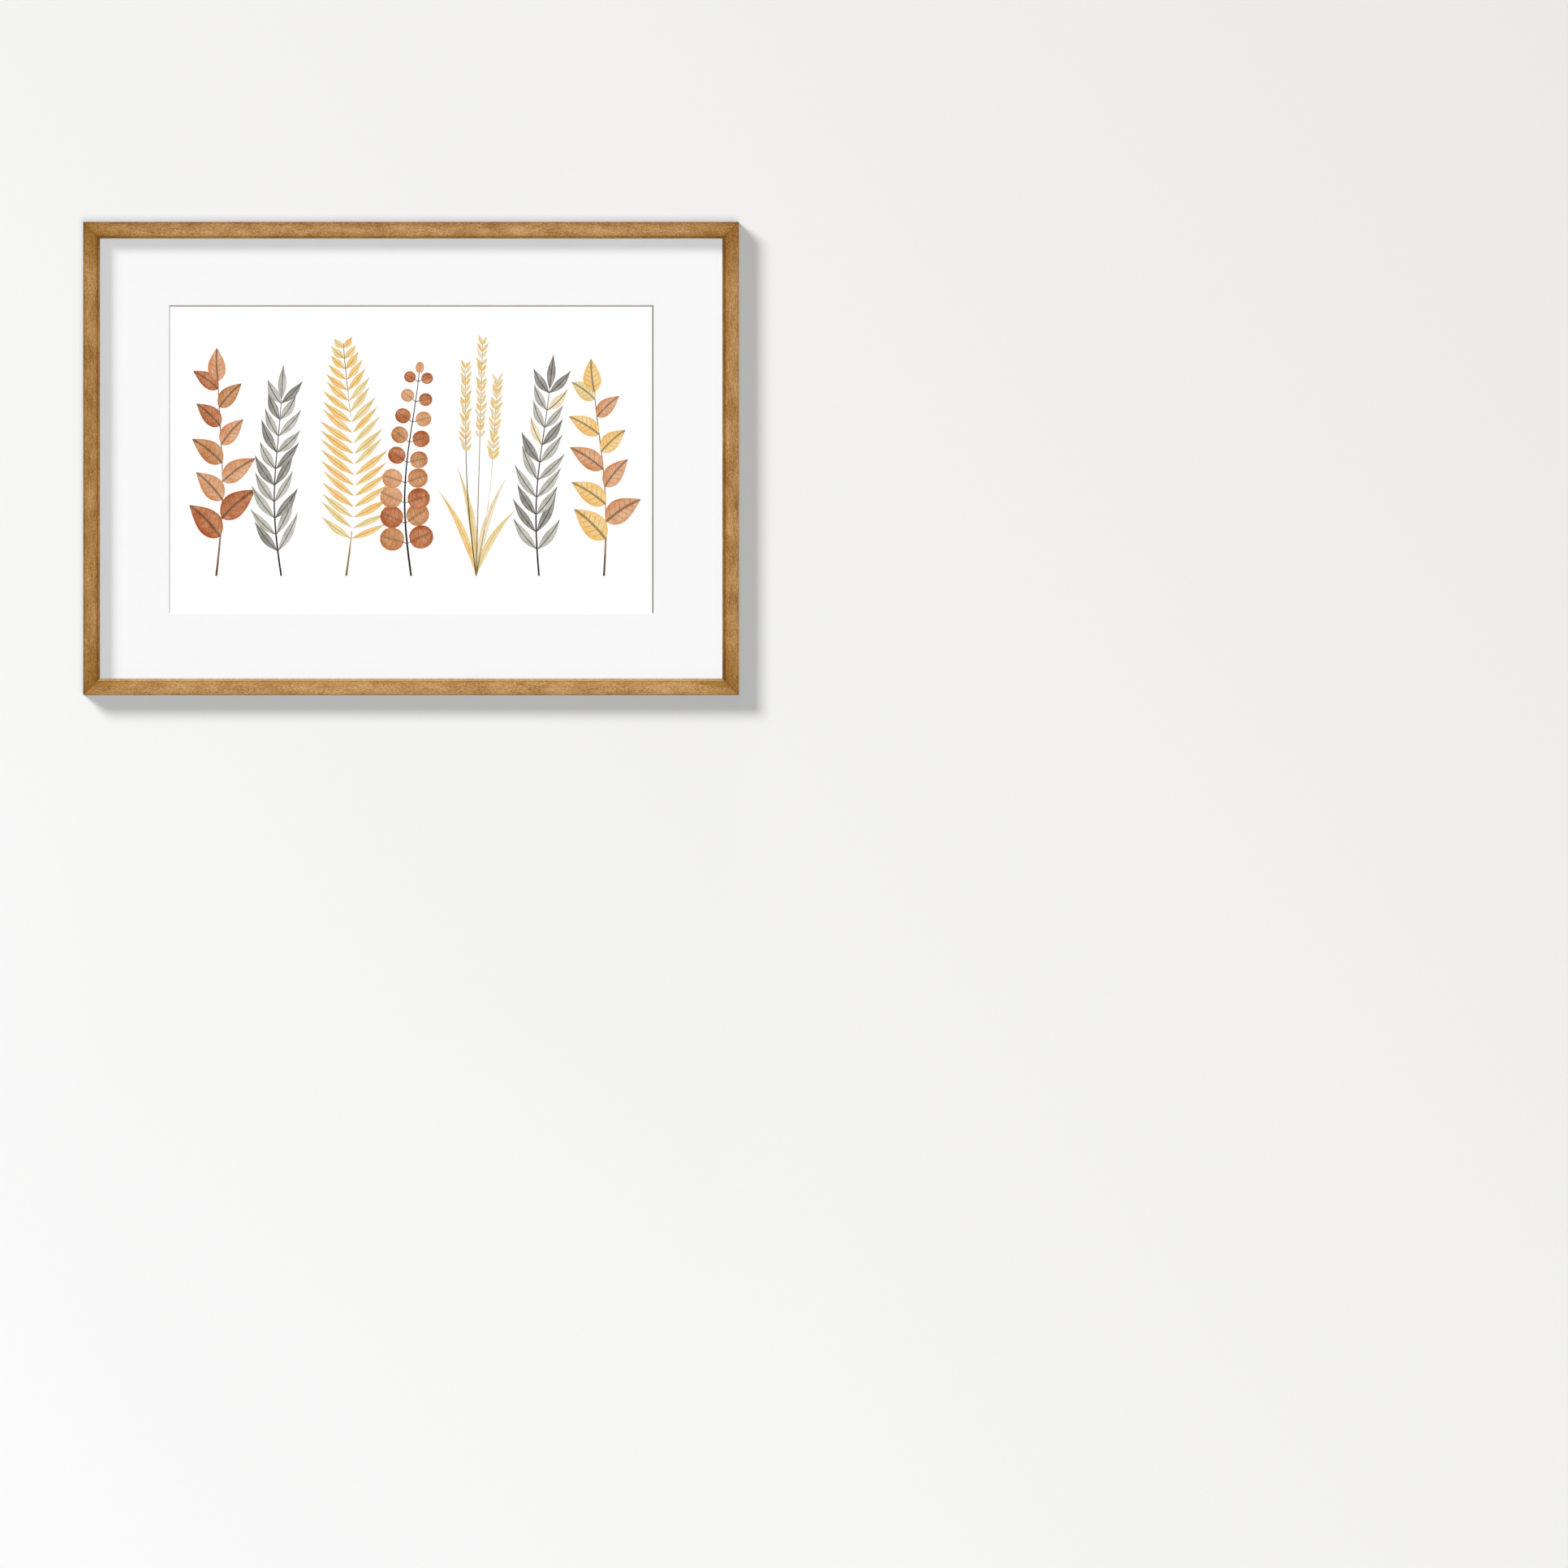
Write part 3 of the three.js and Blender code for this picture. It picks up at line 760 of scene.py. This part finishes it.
def print_sheet():
    """The sheet as a closed mesh whose front is cut along every outline, with the leaf's own
    coordinates and ink on each piece of it."""
    (left, front, bottom), (right, back, top) = sheet_low, sheet_high
    points = [Vector(at) for at in ((left, bottom), (right, bottom), (right, top), (left, top))]
    loops = [[0, 1, 2, 3]]
    for line, *_ in shapes:
        area = sum(a.x * b.y - b.x * a.y for a, b in zip(line, line[1:] + line[:1]))
        loop = list(range(len(points), len(points) + len(line)))
        points += line if area > 0 else line[::-1]
        loops.append(loop)
    cut_points, _, cut_faces, _, _, parents = delaunay_2d_cdt(points, [], loops, 1, WELD)

    vertices = [(point.x, front, point.y) for point in cut_points]
    faces = [list(face) for face in cut_faces]
    tops = [max(parent) for parent in parents]
    behind = len(vertices)
    corners = []
    for corner in points[:4]:
        corners.append(min(range(behind), key=lambda i: (cut_points[i] - corner).length))
        vertices.append((corner.x, back, corner.y))
    for i in range(4):
        j = (i + 1) % 4
        faces.append([corners[j], corners[i], behind + i, behind + j])
        tops.append(0)
    faces.append([behind + 3, behind + 2, behind + 1, behind])
    tops.append(0)

    mesh = bpy.data.meshes.new("printed_sheet")
    mesh.from_pydata(vertices, [], faces)
    for name, kind in (("leaf", "FLOAT_VECTOR"), ("lines", "FLOAT_VECTOR"), ("ink", "FLOAT_COLOR")):
        mesh.attributes.new(name, kind, "CORNER")
    leaf, lines, ink = (mesh.attributes[name] for name in ("leaf", "lines", "ink"))
    for face, shown in zip(mesh.polygons, tops):
        for corner in face.loop_indices:
            if shown == 0:
                ink.data[corner].color = (1, 1, 1, 1)
                continue
            _, colour, base, angle, length, half, bend, rib, veins = shapes[shown - 1]
            x, _, z = mesh.vertices[mesh.loops[corner].vertex_index].co
            offset = Vector((x, z)) - base
            ahead = offset.x * math.cos(angle) + offset.y * math.sin(angle)
            aside = offset.y * math.cos(angle) - offset.x * math.sin(angle)
            leaf.data[corner].vector = (aside / half, ahead / length, bend)
            lines.data[corner].vector = (rib, veins, 0.0)
            ink.data[corner].color = (*linear(colour), 1)
    # The bake gives the front the lower 0.69 of its picture, the back the next part and the edges a strip.
    flat = mesh.uv_layers.new(name="OFBake")
    for face in mesh.polygons:
        for corner in face.loop_indices:
            x, y, z = mesh.vertices[mesh.loops[corner].vertex_index].co
            across, up = (x - left) / (right - left), (z - bottom) / (top - bottom)
            if abs(face.normal.y) < 0.5:
                up, across = 0.985 + 0.01 * (y - front) / (back - front), (across + up) / 2
            elif face.normal.y > 0:
                up = 0.70 + 0.27 * up
            else:
                up = 0.69 * up
            flat.data[corner].uv = (across, up)
    return mesh


def printed_paper():
    """Matt cotton paper with pencil and wash: the colour thins where the paper's tooth stands up,
    deepens towards each leaf's edge and one side, and the ribs are drawn in a darker line."""
    material, add = new_material("matt cotton paper with printed colour")
    place = add("TexCoord")["Object"]
    aside, ahead, bend = add("SeparateXYZ", [add("Attribute", attribute_name="leaf")["Vector"]])
    rib, veins, _ = add("SeparateXYZ", [add("Attribute", attribute_name="lines")["Vector"]])
    ink = add("Attribute", attribute_name="ink")["Color"]

    # The rib follows the leaf's bend: its offset is bend * 4 t (1 - t), as in the outline.
    to_tip = add("Math", [1.0, ahead], operation="SUBTRACT")[0]
    bow = to_tip
    for factor in (ahead, 4.0, bend):
        bow = add("Math", [bow, factor], operation="MULTIPLY")[0]
    from_rib = add("Math", [aside, bow], operation="SUBTRACT")[0]
    off_rib = add("Math", [from_rib], operation="ABSOLUTE")[0]
    swell = ahead
    for operation, by in (("POWER", 0.75), ("MULTIPLY", math.pi), ("SINE", 0.0), ("MAXIMUM", 0.08)):
        swell = add("Math", [swell, by], operation=operation)[0]
    to_edge = add("Math", [off_rib, swell], operation="DIVIDE")[0]

    strokes_apart = (1 / (0.55 * MM), 1, 1 / (9 * MM))
    slanted = {"Rotation": (0, math.radians(38), 0), "Scale": strokes_apart}
    hatch_lines = add("Mapping", {"Vector": place, **slanted})[0]
    hatching = add("TexNoise", {"Scale": 1.0, "Detail": 2.0, "Vector": hatch_lines})["Fac"]
    tooth = add("TexNoise", {"Scale": 1 / (0.7 * MM), "Detail": 2.0, "Vector": place})["Fac"]
    wash = add("TexNoise", {"Scale": 1 / (9 * MM), "Detail": 2.0, "Vector": place})["Fac"]

    # How deep the ink is: hatched, washed, darker at the leaf's edge and thinner on the paper's tooth
    depth = add("Math", [hatching, 1.1, 0.10], operation="MULTIPLY_ADD")[0]
    depth = add("Math", [wash, 0.9, depth], operation="MULTIPLY_ADD")[0]
    edge = add("MapRange", [to_edge, 0.55, 1.0, -0.10, 0.22], **SMOOTH_STEP)[0]
    depth = add("Math", [depth, edge], operation="ADD")[0]
    depth = add("Math", [from_rib, 0.18, depth], operation="MULTIPLY_ADD")[0]
    thinned = add("MapRange", [tooth, 0.30, 0.62, 1.05, 0.80], **SMOOTH_STEP)[0]
    depth = add("Math", [depth, thinned], operation="MULTIPLY")[0]
    wash_colour = add("Gamma", [ink, depth])[0]
    colour = add("MixRGB", [1.0, rgba(0xF9F9F8), wash_colour], blend_type="MULTIPLY")[0]

    # Ribs, and side veins that run forwards from them
    ribs = add("MapRange", [off_rib, 0.05, 0.15, 1.0, 0.0], **SMOOTH_STEP)[0]
    ribs = add("Math", [ribs, rib], operation="MULTIPLY")[0]
    phase = add("Math", [off_rib, -0.16, ahead], operation="MULTIPLY_ADD")[0]
    phase = add("Math", [phase, veins], operation="MULTIPLY")[0]
    phase = add("Math", [phase, 0.5], operation="PINGPONG")[0]
    side_veins = add("MapRange", [phase, 0.03, 0.11, 0.45, 0.0], **SMOOTH_STEP)[0]
    veined = add("Math", [veins, 0.5], operation="GREATER_THAN")[0]
    within = add("MapRange", [to_edge, 0.60, 0.95, 1.0, 0.0], **SMOOTH_STEP)[0]
    for limit in (veined, within):
        side_veins = add("Math", [side_veins, limit], operation="MULTIPLY")[0]
    strokes = add("Math", [ribs, side_veins], operation="MAXIMUM")[0]
    broken = add("MapRange", [hatching, 0.25, 0.55, 0.55, 0.95], **SMOOTH_STEP)[0]
    strokes = add("Math", [strokes, broken], operation="MULTIPLY")[0]
    colour = add("MixRGB", [strokes, colour, rgba(0x4A3527)])[0]

    relief = add("Bump", {"Strength": 0.3, "Distance": 0.04 * MM, "Height": tooth})[0]
    surface = add(
        "BsdfPrincipled",
        {"Roughness": 0.95, "Specular IOR Level": 0.1, "Base Color": colour, "Normal": relief},
    )
    add("OutputMaterial", [surface[0]])
    return material


add_piece("printed_sheet", print_sheet(), printed_paper(), ["print_sheet"])


# Backing board
# A 3 mm fibreboard, pressed from wood fibres and resin, which closes the rebate behind the print. Its
# edges are sawn and just broken, and the hangers are riveted through it.
BOARD_EASE = 0.25 * MM


def fibreboard():
    """Pressed wood fibre: an even brown with short pale and dark fibres, smooth but dull."""
    material, add = new_material("medium density fibreboard")
    place = add("TexCoord")["Object"]
    fibre = add(
        "TexNoise",
        {"Scale": 1 / (1.3 * MM), "Detail": 4.0, "Roughness": 0.75, "Distortion": 0.5, "Vector": place},
    )["Fac"]
    clouds = add("TexNoise", {"Scale": 1 / (28 * MM), "Detail": 3.0, "Vector": place})["Fac"]
    both = add("Math", [clouds, 0.12, fibre], operation="MULTIPLY_ADD")[0]
    colour = add("ValToRGB", [both], stops=[(0.36, 0x7E5F40), (0.56, 0x9A7B58), (0.80, 0xB59873)])[0]
    relief = add("Bump", {"Strength": 0.4, "Distance": 0.05 * MM, "Height": fibre})[0]
    surface = add(
        "BsdfPrincipled",
        {"Roughness": 0.78, "Specular IOR Level": 0.3, "Base Color": colour, "Normal": relief},
    )
    add("OutputMaterial", [surface[0]])
    return material


board = to_mesh("backing_board", eased_copy("backing_board", BOARD_EASE))
add_piece("backing_board_sawn", board, fibreboard(), ["backing_board"])


# Flexible points
# Ten strips of spring steel with a rounded end, shot into the rebate's wall and bent down flat, so that
# they hold the board and can be lifted by hand.
POINT_SIZES = {"Width": 6 * MM, "Thickness": 0.5 * MM, "Inside": 4 * MM, "Outside": 10 * MM}
POINT_COUNTS = {"top": 3, "bottom": 3, "left": 2, "right": 2}


def pressed_steel():
    """Rolled strip steel: grey and satin, with fine rolling marks and a few duller patches."""
    material, add = new_material("rolled spring steel")
    place = add("TexCoord")["Object"]
    drawn_out = add(
        "VectorMath", [place, (1 / (0.25 * MM), 1 / (0.25 * MM), 1 / (4 * MM))], operation="MULTIPLY"
    )[0]
    rolled = add("TexNoise", {"Scale": 1.0, "Detail": 2.0, "Vector": drawn_out})["Fac"]
    patches = add("TexNoise", {"Scale": 1 / (5 * MM), "Detail": 3.0, "Vector": place})["Fac"]
    colour = add("ValToRGB", [rolled], stops=[(0.30, 0x8B8D90), (0.70, 0xB4B6B8)])[0]
    dull = add("MapRange", [patches, 0, 1, 0.26, 0.50])[0]
    surface = add("BsdfPrincipled", {"Metallic": 1.0, "Base Color": colour, "Roughness": dull})
    add("OutputMaterial", [surface[0]])
    return material


def new_tree(name, sizes):
    """A geometry node tree with named inputs for its places, its sizes and its finish."""
    tree = bpy.data.node_groups.new(name, "GeometryNodeTree")
    sockets = [("Places", "Geometry"), *((size, "Float") for size in sizes), ("Finish", "Material")]
    for socket, kind in sockets:
        tree.interface.new_socket(socket, in_out="INPUT", socket_type="NodeSocket" + kind)
    tree.interface.new_socket("Pieces", in_out="OUTPUT", socket_type="NodeSocketGeometry")
    add = partial(add_node, tree)
    return tree, add, add("NodeGroupInput")


def close_tree(add, given, piece):
    """Sets the piece at each place, turned about Y by the place's own angle."""
    turn = add("InputNamedAttribute", {"Name": "turn"}, data_type="FLOAT")["Attribute"]
    angles = add("CombineXYZ", {"Y": turn})[0]
    turned = add("EulerToRotation", [angles])[0]
    placed = add(
        "InstanceOnPoints", {"Points": given["Places"], "Instance": piece, "Rotation": turned}
    )[0]
    real = add("RealizeInstances", [placed])[0]
    finished = add("SetMaterial", {"Geometry": real, "Material": given["Finish"]})[0]
    add("NodeGroupOutput", [finished])


def repeated(name, tree, places, sizes, finish):
    """The plain mesh that a tree makes at places, each a point and its quarter turns about Y."""
    mesh = bpy.data.meshes.new(name + "_places")
    mesh.from_pydata([place for place, _ in places], [], [])
    turn = mesh.attributes.new("turn", "FLOAT", "POINT")
    for i, (_, quarters) in enumerate(places):
        turn.data[i].value = math.radians(90 * quarters)
    made = bpy.data.objects.new(name + "_places", mesh)
    bpy.context.scene.collection.objects.link(made)
    nodes = made.modifiers.new("pieces", "NODES")
    nodes.node_group = tree
    values = {**sizes, "Finish": finish}
    for socket in tree.interface.items_tree:
        if socket.name in values:
            nodes[socket.identifier] = values[socket.name]
    graph = bpy.context.evaluated_depsgraph_get()
    plain = bpy.data.meshes.new_from_object(made.evaluated_get(graph), depsgraph=graph)
    plain.name = name
    made.modifiers.remove(nodes)
    bpy.data.objects.remove(made)
    bpy.data.meshes.remove(mesh)
    return plain


def thickened(add, sheet, thickness):
    """A sheet of faces given thickness, as a closed plate."""
    raised = add(
        "ExtrudeMesh", {"Mesh": sheet, "Offset Scale": thickness, "Individual": False}, mode="FACES"
    )[0]
    under = add("FlipFaces", [sheet])[0]
    shell = add("JoinGeometry", [[raised, under]])[0]
    return add("MergeByDistance", {"Geometry": shell, "Distance": WELD})[0]


def point_tree():
    """A strip from Inside the wood to Outside it, with a round end."""
    tree, add, given = new_tree("flexible_point", POINT_SIZES)
    length = add("Math", [given["Inside"], given["Outside"]], operation="ADD")[0]
    strip = add(
        "CurvePrimitiveQuadrilateral", {"Width": given["Width"], "Height": length}, mode="RECTANGLE"
    )[0]
    split = add("SeparateXYZ", [add("InputPosition")[0]])
    round_end = add("Math", [split["Y"], 0.0], operation="GREATER_THAN")[0]
    share = add("MapRange", [round_end, 0, 1, 0.15, 0.499])[0]
    radius = add("Math", [share, given["Width"]], operation="MULTIPLY")[0]
    rounded = add("FilletCurve", {"Count": 7, "Curve": strip, "Radius": radius}, mode="POLY")[0]
    shift = add("Math", [given["Outside"], given["Inside"]], operation="SUBTRACT")[0]
    shift = add("Math", [shift, 0.5], operation="MULTIPLY")[0]
    offset = add("CombineXYZ", {"Y": shift})[0]
    outline = add("Transform", {"Geometry": rounded, "Translation": offset})[0]
    flat = add("FillCurve", [outline], mode="NGONS")[0]
    plate = thickened(add, flat, given["Thickness"])
    upright = add("Transform", {"Geometry": plate, "Rotation": (math.radians(90), 0, 0)})[0]
    close_tree(add, given, upright)
    return tree


def back_of(node):
    """The middle of a CAD node's back."""
    low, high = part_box(node)
    return (low[0] + high[0]) / 2, high[1], (low[2] + high[2]) / 2


steel = pressed_steel()
point_places, point_nodes = [], []
for side, count in POINT_COUNTS.items():
    for i in range(1, count + 1):
        node = f"flexible_point_{side}_{i}"
        x, y, z = back_of(node)
        at = {
            "bottom": (x, y, outer_bottom + rebate_width),
            "left": (outer_left + rebate_width, y, z),
            "top": (x, y, outer_top - rebate_width),
            "right": (outer_right - rebate_width, y, z),
        }[side]
        point_places.append((at, RAILS[side][0]))
        point_nodes.append(node)
points = repeated("flexible_points", point_tree(), point_places, POINT_SIZES, steel)
metal_only.objects.link(add_piece("flexible_points", points, steel, point_nodes))


# Corner nails
# A V-nail of hardened steel strip across the back of each mitre, pressed in until its edge lies just
# below the wood.
NAIL_SIZES = {"Wing": 5 * MM, "Thickness": 0.5 * MM, "Depth": 8 * MM}
NAIL_AT = 8 * MM  # from the outer edges to the V's spine
CORNERS = {"bottom_left": 0, "top_left": 1, "top_right": 2, "bottom_right": 3}  # quarter turns


def nail_tree():
    """Two wings of strip folded at a right angle, as deep as the nail is driven."""
    tree, add, given = new_tree("v_nail", NAIL_SIZES)
    line = add(
        "MeshLine", {"Count": 9, "Start Location": (-1, 0, 0), "Offset": (0.25, 0, 0)}, mode="OFFSET"
    )[0]
    split = add("SeparateXYZ", [add("InputPosition")[0]])
    sideways = add("Math", [split["X"], 0.0], operation="MINIMUM")[0]
    upwards = add("Math", [split["X"], 0.0], operation="MAXIMUM")[0]
    downwards = add("Math", [upwards, -1.0], operation="MULTIPLY")[0]
    fold = add("CombineXYZ", {"X": sideways, "Z": downwards})[0]
    fold = add("VectorMath", {0: fold, "Scale": given["Wing"]}, operation="SCALE")[0]
    folded = add("SetPosition", {"Geometry": line, "Position": fold})[0]
    deep = add("Math", [given["Depth"], -1.0], operation="MULTIPLY")[0]
    driven = add("CombineXYZ", {"Y": deep})[0]
    strip = add("ExtrudeMesh", {"Offset Scale": 1.0, "Mesh": folded, "Offset": driven}, mode="EDGES")[0]
    close_tree(add, given, thickened(add, strip, given["Thickness"]))
    return tree


nail_places = []
for corner, quarters in CORNERS.items():
    at = (
        outer_left + NAIL_AT if corner.endswith("left") else outer_right - NAIL_AT,
        back_of("corner_nail_" + corner)[1],
        outer_bottom + NAIL_AT if corner.startswith("bottom") else outer_top - NAIL_AT,
    )
    nail_places.append((at, quarters))
nails = repeated("corner_nails", nail_tree(), nail_places, NAIL_SIZES, steel)
nail_nodes = ["corner_nail_" + corner for corner in CORNERS]
metal_only.objects.link(add_piece("corner_nails", nails, steel, nail_nodes))


# Hangers
# Two sawtooth hangers, stamped from steel strip and brass plated, whose middle stands off the board so
# that a hook's edge catches in the teeth. Each is held at both ends by a rivet through the board.
HANGER_EASE = 0.12 * MM
RIVET_NODES = ("rivet_left_1", "rivet_left_2", "rivet_right_1", "rivet_right_2")
RIVET_DOME = 0.9 * MM
low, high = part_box(RIVET_NODES[0])
RIVET_SIZES = {
    "Head": 3.1 * MM,
    "Dome": RIVET_DOME,
    "Shank": 1.5 * MM,
    "Length": high[1] - low[1] - RIVET_DOME,
}


def brassed_steel():
    """Stamped strip with a thin bright brass plating, duller and browner in its scuffed patches."""
    material, add = new_material("brass plated steel")
    place = add("TexCoord")["Object"]
    scuffs = add(
        "TexNoise", {"Scale": 1 / (3 * MM), "Detail": 4.0, "Roughness": 0.65, "Vector": place}
    )["Fac"]
    colour = add("ValToRGB", [scuffs], stops=[(0.35, 0xA98443), (0.65, 0xD2B06A)])[0]
    dull = add("MapRange", [scuffs, 0, 1, 0.46, 0.24])[0]
    surface = add("BsdfPrincipled", {"Metallic": 1.0, "Base Color": colour, "Roughness": dull})
    add("OutputMaterial", [surface[0]])
    return material


brass = brassed_steel()
for node in ("hanger_left", "hanger_right"):
    stamped = to_mesh(node, eased_copy(node, HANGER_EASE))
    metal_only.objects.link(add_piece("sawtooth_" + node, stamped, brass, [node]))


def rivet_tree():
    """A domed head on a shank that ends in a flat flange at the far side of the board."""
    tree, add, given = new_tree("rivet", RIVET_SIZES)
    ball = add("MeshUVSphere", {"Segments": 28, "Rings": 14, "Radius": 1.0})[0]
    split = add("SeparateXYZ", [add("InputPosition")[0]])
    above = add("Math", [split["Z"], 0.0], operation="MAXIMUM")[0]
    domed = add("CombineXYZ", {"X": split["X"], "Y": split["Y"], "Z": above})[0]
    head = add("SetPosition", {"Geometry": ball, "Position": domed})[0]
    head = add("MergeByDistance", {"Distance": 0.02, "Geometry": head})[0]
    size = add("CombineXYZ", {"X": given["Head"], "Y": given["Head"], "Z": given["Dome"]})[0]
    head = add("Transform", {"Geometry": head, "Scale": size})[0]
    shank = add("MeshCylinder", {"Vertices": 20, "Radius": given["Shank"], "Depth": given["Length"]})[0]
    below = add("Math", [given["Length"], -0.5], operation="MULTIPLY")[0]
    sunk = add("CombineXYZ", {"Z": below})[0]
    shank = add("Transform", {"Geometry": shank, "Translation": sunk})[0]
    flange = add("MeshCylinder", {"Vertices": 28, "Depth": 0.5 * MM, "Radius": given["Head"]})[0]
    far = add("Math", [given["Length"], -1.0, 0.25 * MM], operation="MULTIPLY_ADD")[0]
    end = add("CombineXYZ", {"Z": far})[0]
    flange = add("Transform", {"Geometry": flange, "Translation": end})[0]
    joined = add("JoinGeometry", [[head, shank, flange]])[0]
    upright = add("Transform", {"Rotation": (math.radians(-90), 0, 0), "Geometry": joined})[0]
    close_tree(add, given, upright)
    return tree


rivet_places = []
for node in RIVET_NODES:
    x, y, z = back_of(node)
    rivet_places.append(((x, y - RIVET_DOME, z), 0))
rivets = repeated("rivets", rivet_tree(), rivet_places, RIVET_SIZES, steel)
metal_only.objects.link(add_piece("rivets", rivets, steel, RIVET_NODES, 40))
